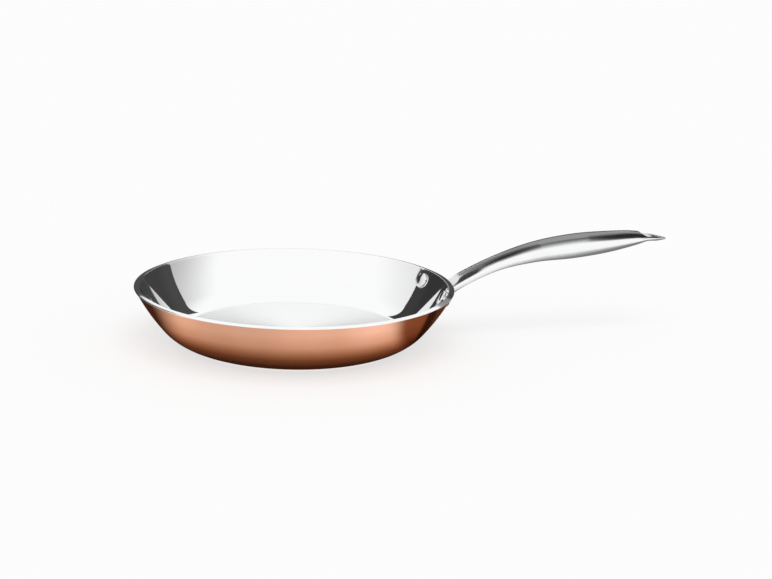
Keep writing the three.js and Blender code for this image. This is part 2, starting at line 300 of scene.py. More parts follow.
# Rivets: square to the wall, on the lining's inner face, with +Z pointing into the bowl
rivet_height = PAN_HEIGHT - RIVET_DROP
rivet_slope = slope_at(rivet_height, wall_thickness)
rivet_seat = wall_point(rivet_height, wall_thickness)
rivet_turn = math.asin(RIVET_SPACING / 2 / rivet_seat.x)
rivet_stack = wall_thickness + SEAT_GAP + PLATE_THICKNESS


def rivet_place(side):
    lean = Matrix.Rotation(-rivet_slope, 4, ACROSS)
    swing = Matrix.Rotation(side * rivet_turn, 4, UP)
    return swing @ Matrix.Translation(rivet_seat) @ lean


def drilled(piece):
    """Cuts both rivet holes through a piece."""
    for side in (1, -1):
        bpy.ops.object.select_all(action="DESELECT")
        bpy.ops.mesh.primitive_cylinder_add(
            vertices=RIVET_SEGMENTS, radius=SHANK_RADIUS + SEAT_GAP, depth=EXCESS
        )
        combine(piece, placed(bpy.context.object, rivet_place(side)), "DIFFERENCE")
    return piece


def rivet(name, side):
    """A turned rivet: the tail's dome, the shank, the head's straight edge and its dome."""
    wall_curve = rivet_seat.x / math.sin(rivet_slope)
    head_seat = SEAT_GAP + HEAD_RADIUS**2 / (2 * wall_curve)
    head_foot = head_seat + HEAD_EDGE
    tail_seat = -(rivet_stack + SEAT_GAP)
    body = start_at(name, (0, 0, tail_seat - TAIL_RADIUS))
    turn((0, 0, tail_seat), CLIMB, math.pi / 2, DOME_STEPS)
    draw_to((SHANK_RADIUS, 0, tail_seat))
    draw_to((SHANK_RADIUS, 0, head_seat))
    draw_to((HEAD_RADIUS, 0, head_seat))
    draw_to((HEAD_RADIUS, 0, head_foot))
    turn((0, 0, head_foot), CLIMB, math.pi / 2, DOME_STEPS)
    select_where(lambda place: place.z < tail_seat)
    press = (1, 1, TAIL_HEIGHT / TAIL_RADIUS)
    bpy.ops.transform.resize(value=press, center_override=(0, 0, tail_seat))
    select_where(lambda place: place.z > head_foot)
    press = (1, 1, (HEAD_HEIGHT - HEAD_EDGE) / HEAD_RADIUS)
    bpy.ops.transform.resize(value=press, center_override=(0, 0, head_foot))
    return placed(spin_round(body, RIVET_SEGMENTS), rivet_place(side))


# Handle: sections along its reach, each two half-ellipses above and below the seam
Section = namedtuple("Section", "reach rise half_width above below")
root_on_wall = slope_at(PAN_HEIGHT - ROOT_DROP, wall_thickness)
handle_root = wall_centre + (WALL_RADIUS + SEAT_GAP + PLATE_THICKNESS) * Vector(
    (math.sin(root_on_wall), 0, -math.cos(root_on_wall))
)
neck_rise = NECK_REACH * math.tan(ROOT_SLOPE)
shoulder_reach = HANDLE_REACH - SHOULDER_BACK
shoulder_rise = HANDLE_RISE - SHOULDER_DROP


def mix(low, high, share):
    return low + (high - low) * share


def on_root(reach, width, above, below):
    """A section of the straight root. Here and below, width and heights are in millimetres."""
    return Section(reach, reach * math.tan(ROOT_SLOPE), width / 2 * MM, above * MM, below * MM)


def on_arm(share, lift, width, above, below):
    """A section placed by its share of the way from neck to shoulder, and of the lift between them."""
    reach = mix(NECK_REACH, shoulder_reach, share)
    return Section(reach, mix(neck_rise, shoulder_rise, lift), width / 2 * MM, above * MM, below * MM)


def on_tail(back, drop, width, above, below):
    """A section placed by how far back it is from the tip, and how far the seam drops there."""
    return Section(HANDLE_REACH - back, HANDLE_RISE - drop, width / 2 * MM, above * MM, below * MM)


SECTIONS = [
    on_root(-BURIED, 18.2, 6, 6.1),
    on_root(0, 18.2, 6, 6.1),
    on_root(NECK_REACH, 18, 5.7, 5.8),
    on_arm(0.19, 0.43, 18.6, 6.1, 6.1),
    on_arm(0.4, 0.71, 22.2, 7.9, 7.9),
    on_arm(0.63, 0.845, 24.6, 9.4, 9.4),
    on_arm(0.83, 0.93, 23, 8.3, 8),
    on_tail(SHOULDER_BACK, SHOULDER_DROP, 18, 5.9, 4.5),
    on_tail(16.5 * MM, 0, 14.4, 4, 2.5),
    on_tail(7.5 * MM, 0.2 * MM, 10.4, 2.1, 2.5),
    on_tail(0, 1 * MM, 3.2, 0.8, 1),
]


def grade(index):
    """How fast each size changes at a section: the mean of the slopes to both sides of it."""
    sides = [i for i in (index - 1, index) if 0 <= i < len(SECTIONS) - 1]
    slopes = []
    for i in sides:
        run = SECTIONS[i + 1].reach - SECTIONS[i].reach
        slopes.append([(b - a) / run for a, b in zip(SECTIONS[i], SECTIONS[i + 1])])
    return [sum(column) / len(column) for column in zip(*slopes)]


def section_at(reach):
    """A smooth curve through the sections."""
    last = len(SECTIONS) - 2
    i = next((i for i in range(last) if reach < SECTIONS[i + 1].reach), last)
    start, end = SECTIONS[i], SECTIONS[i + 1]
    run = end.reach - start.reach
    t = (reach - start.reach) / run
    values = []
    for a, b, slope_a, slope_b in zip(start, end, grade(i), grade(i + 1)):
        from_a = (1 + 2 * t) * (1 - t) ** 2 * a + t * (1 - t) ** 2 * run * slope_a
        from_b = t * t * (3 - 2 * t) * b - t * t * (1 - t) * run * slope_b
        values.append(from_a + from_b)
    return Section(*values)


def seam_place(section):
    return handle_root + Vector((section.reach, 0, section.rise))


def half_body(name, side, inset, end):
    """The half of the handle above or below the seam, drawn in by an inset, as far as a reach."""
    count = math.ceil((end + BURIED) / HANDLE_STEP)
    sections = [section_at(mix(-BURIED, end, i / count)) for i in range(count + 1)]
    sizes = [
        (section.half_width - inset, (section.above if side > 0 else section.below) - inset)
        for section in sections
    ]
    seam = seam_place(sections[0])
    body = start_at(name, seam + sizes[0][0] * ACROSS)
    turn(seam, side * ALONG, SEAM_ROW, 1)
    turn(seam, side * ALONG, math.pi - 2 * SEAM_ROW, HALF_SECTION_STEPS)
    turn(seam, side * ALONG, SEAM_ROW, 1)
    bpy.ops.mesh.select_all(action="SELECT")
    bpy.ops.transform.resize(value=(1, 1, sizes[0][1] / sizes[0][0]), center_override=seam)
    bpy.ops.mesh.edge_face_add()
    for i in range(1, len(sections)):
        step = seam_place(sections[i]) - seam_place(sections[i - 1])
        bpy.ops.mesh.extrude_region_move(TRANSFORM_OT_translate={"value": step})
        growth = (1, sizes[i][0] / sizes[i - 1][0], sizes[i][1] / sizes[i - 1][1])
        bpy.ops.transform.resize(value=growth, center_override=seam_place(sections[i]))
    return clean(body)


def flat_cut(height, length, radius):
    """What is cut away above a flat: a straight floor that ends in a curve up and out of the body."""
    cut = start_at("flat_cut", (-EXCESS, -EXCESS, height))
    draw_to((length, -EXCESS, height))
    turn((length, -EXCESS, height + radius), CLIMB, math.pi / 2, CURVE_STEPS)
    draw_to((length + radius, -EXCESS, height + EXCESS))
    draw_to((-EXCESS, -EXCESS, height + EXCESS))
    bpy.ops.mesh.select_all(action="SELECT")
    bpy.ops.mesh.edge_face_add()
    bpy.ops.mesh.extrude_region_move(TRANSFORM_OT_translate={"value": 2 * EXCESS * ACROSS})
    return clean(cut)


def root_flat(inset):
    """The root's flat follows the slope of the root."""
    cut = flat_cut(ROOT_FLAT_HEIGHT - inset, ROOT_FLAT_LENGTH, ROOT_FLAT_CURVE + inset)
    return placed(cut, Matrix.Translation(handle_root) @ Matrix.Rotation(-ROOT_SLOPE, 4, ACROSS))


def tail_flat(inset):
    """The tail's flat is level, and runs in from the tip."""
    cut = flat_cut(TAIL_FLAT_HEIGHT - inset, TAIL_FLAT_LENGTH, TAIL_FLAT_CURVE + inset)
    tip = handle_root + Vector((HANDLE_REACH, 0, HANDLE_RISE))
    return placed(cut, Matrix.Translation(tip) @ Matrix.Rotation(math.pi, 4, UP))


def pressed_half(name, side, inset, end):
    """One half of the handle with the flats pressed into its top."""
    body = half_body(name, side, inset, end)
    if side > 0:
        combine(body, root_flat(inset), "DIFFERENCE")
        combine(body, tail_flat(inset), "DIFFERENCE")
    return body


def handle_shell(name, side):
    """One welded half of the hollow handle, cut to the bracket at its root."""
    shell = pressed_half(name, side, 0, HANDLE_REACH)
    combine(shell, pressed_half("hollow", side, HANDLE_WALL, shoulder_reach), "DIFFERENCE")
    combine(shell, bowl_space(2 * SEAT_GAP + PLATE_THICKNESS), "DIFFERENCE")
    return shell


# Bracket: a plate that follows the wall, with round ends about the rivets and a deeper middle
def plate_blank():
    """The plate's outline, drawn in Y and Z with the line of the rivets at Z 0, and made thick along X."""
    ear = (rivet_seat.x + wall_thickness * math.sin(rivet_slope)) * math.sin(rivet_turn)
    fall = PLATE_DROP - PLATE_EAR
    sweep = 2 * math.atan(fall / ear)  # each lower edge is two arcs, that turn out and back
    sweep_radius = ear / (2 * math.sin(sweep))
    blank = start_at("plate", (-EXCESS, ear, PLATE_EAR))
    draw_to((-EXCESS, -ear, PLATE_EAR))
    turn((-EXCESS, -ear, 0), ALONG, math.pi, CURVE_STEPS)
    turn((-EXCESS, -ear, -PLATE_EAR - sweep_radius), -ALONG, sweep, CURVE_STEPS)
    turn((-EXCESS, 0, -PLATE_DROP + sweep_radius), ALONG, 2 * sweep, CURVE_STEPS)
    turn((-EXCESS, ear, -PLATE_EAR - sweep_radius), -ALONG, sweep, CURVE_STEPS)
    turn((-EXCESS, ear, 0), ALONG, math.pi, CURVE_STEPS)
    bpy.ops.mesh.select_all(action="SELECT")
    bpy.ops.mesh.remove_doubles(threshold=DOUBLES)
    bpy.ops.mesh.edge_face_add()
    bpy.ops.mesh.extrude_region_move(TRANSFORM_OT_translate={"value": 2 * EXCESS * ALONG})
    return clean(blank)


def tongue():
    """The short stub of the bracket inside the handle's root."""
    inset = HANDLE_WALL + SEAT_GAP
    width = SECTIONS[1].half_width - inset
    height = SECTIONS[1].above - inset
    bpy.ops.object.select_all(action="DESELECT")
    bpy.ops.mesh.primitive_circle_add(vertices=RIVET_SEGMENTS, radius=width, fill_type="NGON")
    stub = bpy.context.object
    bpy.ops.object.mode_set(mode="EDIT")
    bpy.ops.mesh.select_all(action="SELECT")
    bpy.ops.transform.resize(value=(height / width, 1, 1))
    bpy.ops.mesh.extrude_region_move(
        TRANSFORM_OT_translate={"value": (TONGUE_REACH / math.cos(ROOT_SLOPE) + BURIED) * UP}
    )
    clean(stub)
    facing = Matrix.Rotation(math.pi / 2 - ROOT_SLOPE, 4, ACROSS)
    placed(stub, Matrix.Translation(handle_root) @ facing @ Matrix.Translation(-BURIED * UP))
    combine(stub, root_flat(inset), "DIFFERENCE")
    combine(stub, bowl_space(SEAT_GAP), "DIFFERENCE")
    return stub


def bracket(name):
    plate = plate_blank()
    plate.name = name
    plate.data.name = name
    middle = wall_centre + WALL_RADIUS * Vector((math.sin(rivet_slope), 0, -math.cos(rivet_slope)))
    placed(plate, Matrix.Translation(middle) @ Matrix.Rotation(math.pi / 2 - rivet_slope, 4, ACROSS))
    combine(plate, bowl_space(SEAT_GAP + PLATE_THICKNESS), "INTERSECT")
    combine(plate, bowl_space(SEAT_GAP), "DIFFERENCE")
    finish_with(plate, "BEVEL", width=PLATE_EDGE, segments=PLATE_STEPS, limit_method="ANGLE")
    combine(plate, tongue(), "UNION")
    return drilled(plate)


# Materials
MICRON = 0.001 * MM
MOST_NOISE = {"From Min": 0.3, "From Max": 0.7}  # the range that holds most values of a noise


def linear(colour):
    """A hex colour of the screen, as the linear colour that shaders work in."""
    parts = [int(colour[i : i + 2], 16) / 255 for i in (1, 3, 5)]
    return [part / 12.92 if part <= 0.04045 else ((part + 0.055) / 1.055) ** 2.4 for part in parts] + [1]


def add(tree, kind, inputs=None, **settings):
    """A node with its settings, its values, and the sockets or nodes that feed it."""
    made = tree.nodes.new(kind)
    for setting, value in settings.items():
        setattr(made, setting, value)
    for socket, value in (inputs or {}).items():
        if isinstance(value, bpy.types.Node):
            value = next(output for output in value.outputs if output.enabled)
        if isinstance(value, bpy.types.NodeSocket):
            tree.links.new(value, made.inputs[socket])
        else:
            made.inputs[socket].default_value = value
    return made


def new_material(name):
    """An empty material, and its tree of nodes."""
    material = bpy.data.materials.new(name)
    material.use_nodes = True
    material.node_tree.nodes.clear()
    return material, material.node_tree


def from_axis(tree, place):
    """How far a place is from the pan's axis."""
    level = add(tree, "ShaderNodeVectorMath", {0: place, 1: (1, 1, 0)}, operation="MULTIPLY")
    return add(tree, "ShaderNodeVectorMath", {0: level}, operation="LENGTH")


def rings(tree, place, spacing):
    """Fine lines round the pan's axis, which hardly change on their way round."""
    level = add(tree, "ShaderNodeVectorMath", {0: place, 1: (1, 1, 0)}, operation="MULTIPLY")
    heading = add(tree, "ShaderNodeVectorMath", {0: level}, operation="NORMALIZE")
    drift = add(tree, "ShaderNodeVectorMath", {0: heading, "Scale": RING_DRIFT}, operation="SCALE")
    height = add(tree, "ShaderNodeSeparateXYZ", {0: place}).outputs["Z"]
    climb = add(tree, "ShaderNodeMath", {0: from_axis(tree, place), 1: height}, operation="ADD")
    profile = add(tree, "ShaderNodeCombineXYZ", {"Z": climb})
    spot = add(tree, "ShaderNodeVectorMath", {0: drift, 1: profile}, operation="ADD")
    return add(tree, "ShaderNodeTexNoise", {"Vector": spot, "Scale": 1 / spacing})


def strokes(tree, place, spacing):
    """Fine lines along the handle."""
    stretch = (spacing / STROKE_LENGTH, 1, 1)
    spot = add(tree, "ShaderNodeVectorMath", {0: place, 1: stretch}, operation="MULTIPLY")
    return add(tree, "ShaderNodeTexNoise", {"Vector": spot, "Scale": 1 / spacing})


# Sizes of the finishes. Real polishing lines are hundredths of a millimetre wide, too fine for a picture,
# so they are drawn some tenths wide and very shallow.
RING_SPACING = 0.7 * MM
RING_DRIFT = 1.5 * MM
STROKE_SPACING = 0.5 * MM
STROKE_LENGTH = 30 * MM
CLOUD = 38 * MM  # of slightly redder copper
BLEMISH = 9 * MM  # of slightly duller steel
PIT = 0.35 * MM
DIE_MARK = 4 * PIT
FLOOR_BLEND = 2 * MM  # over which the satin floor changes to the mirror of the wall
RIM_BLEND = 0.1 * MM  # and the mirror to the ground rim


def spun_polished_copper():
    """Spun to shape and buffed: a warm, slightly soft mirror with faint rings and redder clouds."""
    material, tree = new_material("spun_polished_copper")
    place = add(tree, "ShaderNodeTexCoord").outputs["Object"]
    lines = rings(tree, place, RING_SPACING)
    clouds = add(tree, "ShaderNodeTexNoise", {"Vector": place, "Scale": 1 / CLOUD})
    redness = add(tree, "ShaderNodeMapRange", {"Value": clouds, "From Min": 0.35, "From Max": 0.65})
    colours = {"A": linear("#f3b898"), "B": linear("#eeb08f")}
    shader = add(
        tree,
        "ShaderNodeBsdfPrincipled",
        {
            "Base Color": add(tree, "ShaderNodeMix", {"Factor": redness, **colours}, data_type="RGBA"),
            "Metallic": 1,
            "Roughness": add(
                tree, "ShaderNodeMapRange", {"Value": lines, **MOST_NOISE, "To Min": 0.1, "To Max": 0.14}
            ),
            "Specular Tint": linear("#f6d4c2"),
            "Normal": add(tree, "ShaderNodeBump", {"Height": lines, "Distance": 0.4 * MICRON}),
        },
    )
    add(tree, "ShaderNodeOutputMaterial", {"Surface": shader})
    return material


def mirror_polished_steel():
    """The bowl's inside: a mirror on the wall, a satin floor brushed in rings, and a ground rim."""
    material, tree = new_material("mirror_polished_stainless_steel")
    place = add(tree, "ShaderNodeTexCoord").outputs["Object"]
    lines = rings(tree, place, RING_SPACING)
    wall = add(tree, "ShaderNodeMapRange", {"Value": lines, **MOST_NOISE, "To Min": 0.03, "To Max": 0.04})
    floor = add(tree, "ShaderNodeMapRange", {"Value": lines, **MOST_NOISE, "To Min": 0.5, "To Max": 0.56})
    floor_radius = floor_edge(wall_thickness, FLOOR_LIFT).x
    on_wall = add(
        tree,
        "ShaderNodeMapRange",
        {
            "Value": from_axis(tree, place),
            "From Min": floor_radius - FLOOR_BLEND,
            "From Max": floor_radius,
        },
        interpolation_type="SMOOTHSTEP",
    )
    height = add(tree, "ShaderNodeSeparateXYZ", {0: place}).outputs["Z"]
    on_rim = add(
        tree,
        "ShaderNodeMapRange",
        {"Value": height, "From Min": under_lip - RIM_BLEND, "From Max": under_lip},
    )
    bowl = add(tree, "ShaderNodeMix", {"Factor": on_wall, "A": floor, "B": wall})
    colours = {"A": linear("#fcfcfb"), "B": linear("#f8f9fa")}
    shader = add(
        tree,
        "ShaderNodeBsdfPrincipled",
        {
            "Base Color": add(tree, "ShaderNodeMix", {"Factor": lines, **colours}, data_type="RGBA"),
            "Metallic": 1,
            "Roughness": add(tree, "ShaderNodeMix", {"Factor": on_rim, "A": bowl, "B": 0.1}),
            "Anisotropic": 0.85,
            "Anisotropic Rotation": 0.25,
            "Tangent": add(tree, "ShaderNodeTangent", direction_type="RADIAL", axis="Z"),
            "Normal": add(tree, "ShaderNodeBump", {"Height": lines, "Distance": 0.05 * MICRON}),
        },
    )
    add(tree, "ShaderNodeOutputMaterial", {"Surface": shader})
    return material


def satin_polished_steel():
    """The handle: polished lengthwise with a fine belt, for soft reflections with faint long lines."""
    material, tree = new_material("satin_polished_stainless_steel")
    place = add(tree, "ShaderNodeTexCoord").outputs["Object"]
    lines = strokes(tree, place, STROKE_SPACING)
    clouds = add(tree, "ShaderNodeTexNoise", {"Vector": place, "Scale": 1 / BLEMISH})
    colours = {"A": linear("#fcfcfb"), "B": linear("#f6f7f8")}
    shader = add(
        tree,
        "ShaderNodeBsdfPrincipled",
        {
            "Base Color": add(tree, "ShaderNodeMix", {"Factor": clouds, **colours}, data_type="RGBA"),
            "Metallic": 1,
            "Roughness": add(
                tree, "ShaderNodeMapRange", {"Value": lines, **MOST_NOISE, "To Min": 0.14, "To Max": 0.22}
            ),
            "Normal": add(tree, "ShaderNodeBump", {"Height": lines, "Distance": 0.6 * MICRON}),
        },
    )
    add(tree, "ShaderNodeOutputMaterial", {"Surface": shader})
    return material


def tumbled_steel():
    """The bracket: stamped and tumbled smooth, with a fine even grain of tiny dents."""
    material, tree = new_material("stamped_tumbled_stainless_steel")
    place = add(tree, "ShaderNodeTexCoord").outputs["Object"]
    dents = add(tree, "ShaderNodeTexNoise", {"Vector": place, "Scale": 1 / PIT})
    clouds = add(tree, "ShaderNodeTexNoise", {"Vector": place, "Scale": 1 / BLEMISH})
    colours = {"A": linear("#dedede"), "B": linear("#d6d7d8")}
    shader = add(
        tree,
        "ShaderNodeBsdfPrincipled",
        {
            "Base Color": add(tree, "ShaderNodeMix", {"Factor": clouds, **colours}, data_type="RGBA"),
            "Metallic": 1,
            "Roughness": add(
                tree, "ShaderNodeMapRange", {"Value": dents, **MOST_NOISE, "To Min": 0.18, "To Max": 0.28}
            ),
            "Normal": add(tree, "ShaderNodeBump", {"Height": dents, "Distance": 1 * MICRON}),
        },
    )
    add(tree, "ShaderNodeOutputMaterial", {"Surface": shader})
    return material


def headed_steel():
    """The rivets: cold-headed in a polished die, a bright skin with a few shallow marks."""
    material, tree = new_material("cold_headed_stainless_steel")
    place = add(tree, "ShaderNodeTexCoord").outputs["Object"]
    dents = add(tree, "ShaderNodeTexNoise", {"Vector": place, "Scale": 1 / DIE_MARK})
    colours = {"A": linear("#f0f0ef"), "B": linear("#e8e9ea")}
    shader = add(
        tree,
        "ShaderNodeBsdfPrincipled",
        {
            "Base Color": add(tree, "ShaderNodeMix", {"Factor": dents, **colours}, data_type="RGBA"),
            "Metallic": 1,
            "Roughness": add(
                tree, "ShaderNodeMapRange", {"Value": dents, **MOST_NOISE, "To Min": 0.05, "To Max": 0.1}
            ),
            "Normal": add(tree, "ShaderNodeBump", {"Height": dents, "Distance": 4 * MICRON}),
        },
    )
    add(tree, "ShaderNodeOutputMaterial", {"Surface": shader})
    return material


def rolled_aluminium():
    """The core: sealed inside the bowl, a dull rolled sheet."""
    material, tree = new_material("rolled_aluminium")
    place = add(tree, "ShaderNodeTexCoord").outputs["Object"]
    grain = strokes(tree, place, 2 * STROKE_SPACING)
    colours = {"A": linear("#cacccd"), "B": linear("#c0c2c4")}
    shader = add(
        tree,
        "ShaderNodeBsdfPrincipled",
        {
            "Base Color": add(tree, "ShaderNodeMix", {"Factor": grain, **colours}, data_type="RGBA"),
            "Metallic": 1,
            "Roughness": add(
                tree, "ShaderNodeMapRange", {"Value": grain, **MOST_NOISE, "To Min": 0.35, "To Max": 0.45}
            ),
        },
    )
    add(tree, "ShaderNodeOutputMaterial", {"Surface": shader})
    return material


copper = spun_polished_copper()
mirror_steel = mirror_polished_steel()
satin_steel = satin_polished_steel()
bracket_steel = tumbled_steel()
rivet_steel = headed_steel()
aluminium = rolled_aluminium()


# The pan
def fit_out(piece, node, material):
    """Smooths a finished piece, gives it its material, and puts it on the pan in place of its CAD node."""
    only(piece)
    bpy.ops.object.shade_smooth_by_angle(angle=SMOOTH_ANGLE)
    piece.data.materials.clear()
    piece.data.materials.append(material)
    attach(piece, BODY)
    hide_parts(node)


copper_skin = drilled(bowl_layer("copper_skin", 0, COPPER_THICKNESS, 0, layer_top))
heat_core = drilled(bowl_layer("heat_core", core_depth, lining_depth - BOND_GAP, FLOOR_LIFT, layer_top))
fit_out(copper_skin, "copper_shell", copper)
fit_out(heat_core, "aluminium_core", aluminium)
fit_out(drilled(lining_body("bowl_lining")), "steel_lining", mirror_steel)
fit_out(bracket("bracket"), "handle_bracket", bracket_steel)
fit_out(handle_shell("handle_upper", 1), "handle_upper_shell", satin_steel)
fit_out(handle_shell("handle_lower", -1), "handle_lower_shell", satin_steel)
fit_out(rivet("left_rivet", 1), "rivet_left", rivet_steel)
fit_out(rivet("right_rivet", -1), "rivet_right", rivet_steel)


# Camera, as the photograph was taken: a long lens, in front of the pan and a little to its left
CAMERA_PLACE = Vector((-0.36617, -1.51623, 0.44994))
CAMERA_HEADING = math.radians(16.10)  # from +Y towards +X
CAMERA_PITCH = math.radians(14.673)  # downward
CAMERA_ROLL = math.radians(1.607)
LENS = 100
SENSOR = 36


def photographers_camera():
    data = bpy.data.cameras.new("camera")
    data.lens = LENS
    data.sensor_width = SENSOR
    camera = bpy.data.objects.new("camera", data)
    bpy.context.scene.collection.objects.link(camera)
    bpy.context.scene.camera = camera
    heading = Matrix.Rotation(-CAMERA_HEADING, 4, "Z")
    pitch = Matrix.Rotation(math.pi / 2 - CAMERA_PITCH, 4, "X")
    roll = Matrix.Rotation(CAMERA_ROLL, 4, "Z")
    camera.matrix_world = Matrix.Translation(CAMERA_PLACE) @ heading @ pitch @ roll


# Studio, placed as the photographer sees it: to the right, ahead and up from the middle of the pan
shot = Matrix.Rotation(-CAMERA_HEADING, 4, "Z")
UPRIGHT = Matrix.Rotation(math.pi / 2, 4, "X")  # stands a level card up, facing the camera
FLOOR_HALF = 6
FLOOR_LAYER = 0.12 * MM  # floor cards lie one above the other, so that none hides another
SHADE_LAYER = 10
HANDLE_CARDS = Vector((0.215, 0, 0.1135))  # the middle of a sloping plane of cards over the handle
HANDLE_CARD_SLOPE = math.radians(8)
NECK_CARDS = Vector((0.136, -0.012, 0.0595))  # and of another, close over its steep root
NECK_CARD_SLOPE = math.radians(22)
BEHIND_ROOT = (0.0953, 0.0833, 0.0615)
ROOT_CARD_TURN = math.radians(28)
SIDEWAYS = math.radians(-90)
VEIL_AWAY = 2.8
VEIL_TURN = math.radians(65)
LAMP_TILT = math.radians(19)  # from upright, towards the camera
LAMP_SWING = math.radians(12)  # from there to the right
LAMP_SPREAD = math.radians(45)
LAMP_STRENGTH = 0.9
SKY_SHARE = 0.72  # of the white world, as light on the floor
PLAIN_SHARE = 0.7  # of the floor's colour that the camera sees without its light and shadow
WHITE = "#ffffff"
# A cool white for the painted pool of light on the floor
COOL_WHITE = "#eef5ff"
# A warm tint for painted shade on the floor, as if lit by light that the copper gives back
COPPER_LIT_SHADE = "#ffc29c"


def seen(right, ahead, up):
    """A place as the photographer sees it."""
    return shot @ Matrix.Translation((right, ahead, up))


def on_floor(right, ahead, layer):
    """A place on the floor, in one of the layers of cards."""
    return seen(right, ahead, layer * FLOOR_LAYER)


def standing(right, ahead, up, turned=0):
    """A place for a card that stands up, facing the camera or turned from it."""
    return seen(right, ahead, up) @ Matrix.Rotation(turned, 4, "Z") @ UPRIGHT


def beside_pan(turned):
    """A far place to the right or left, for a card that stands there and faces the pan."""
    return shot @ Matrix.Rotation(-turned, 4, "Z") @ Matrix.Translation((0, VEIL_AWAY, 0)) @ UPRIGHT


def on_slope(middle, slope, along, behind, up):
    """A place on a plane that rises along the handle."""
    rise = Matrix.Rotation(-slope, 4, "Y")
    return Matrix.Translation(middle) @ rise @ Matrix.Translation((along, behind, up))


def over_handle(along, behind, up):
    return on_slope(HANDLE_CARDS, HANDLE_CARD_SLOPE, along, behind, up)


def over_neck(along, behind, up):
    return on_slope(NECK_CARDS, NECK_CARD_SLOPE, along, behind, up)


def level_plane(name, place, half_width, half_depth):
    bpy.ops.object.select_all(action="DESELECT")
    bpy.ops.mesh.primitive_plane_add(size=2)
    plane = bpy.context.object
    plane.name = name
    plane.matrix_world = place @ Matrix.Diagonal((half_width, half_depth, 1, 1))
    return plane


def only_reflected(card):
    """A card that stands outside the picture: the metal shows it, and it casts no shadow."""
    card.visible_camera = False
    card.visible_diffuse = False
    card.visible_shadow = False


# Dark cards behind the pan. Each runs from a start to an end, as seen to the right, and has one
# colour low down and one high up.
BackCard = namedtuple("BackCard", "name start end height low high")
BACK_CARD_AHEAD = 1.2
BACK_CARD_HEIGHT = 0.98
BACK_CARD_END = 2.3
FAR_CARD_END = 3.6
FAR_CARD_HEIGHT = 1.17
BACK_GAP_LEFT = -0.46  # where the left card ends
BACK_GAP_RIGHT = 0.45  # and where the right one begins
LOW_CARD_HEIGHT = 0.5
LOW_COLOUR_TO = -0.2  # in half heights of a card from its middle
HIGH_COLOUR_FROM = 0.5
BACK_CARDS = [
    BackCard("far_left_back_card", -FAR_CARD_END, -BACK_CARD_END, FAR_CARD_HEIGHT, "#343434", "#3c3c3c"),
    BackCard("left_back_card", -BACK_CARD_END, BACK_GAP_LEFT, BACK_CARD_HEIGHT, "#343434", "#3c3c3c"),
    BackCard("low_back_card", BACK_GAP_LEFT, BACK_GAP_RIGHT, LOW_CARD_HEIGHT, "#4b4b4b", "#4b4b4b"),
    BackCard("right_back_card", BACK_GAP_RIGHT, BACK_CARD_END, BACK_CARD_HEIGHT, "#404040", "#484848"),
]


def back_card(card):
    """A dark card behind the pan, whose straight edges show in the lining."""
    middle = standing((card.start + card.end) / 2, BACK_CARD_AHEAD, card.height / 2)
    plane = level_plane(card.name, middle, (card.end - card.start) / 2, card.height / 2)
    material, tree = new_material(card.name)
    place = add(tree, "ShaderNodeTexCoord").outputs["Object"]
    climb = add(tree, "ShaderNodeSeparateXYZ", {0: place}).outputs["Y"]
    limits = {"From Min": LOW_COLOUR_TO, "From Max": HIGH_COLOUR_FROM}
    share = add(tree, "ShaderNodeMapRange", {"Value": climb, **limits}, interpolation_type="SMOOTHSTEP")
    colours = {"A": linear(card.low), "B": linear(card.high)}
    colour = add(tree, "ShaderNodeMix", {"Factor": share, **colours}, data_type="RGBA")
    paint = add(tree, "ShaderNodeEmission", {"Color": colour})
    add(tree, "ShaderNodeOutputMaterial", {"Surface": paint})
    plane.data.materials.append(material)
    only_reflected(plane)


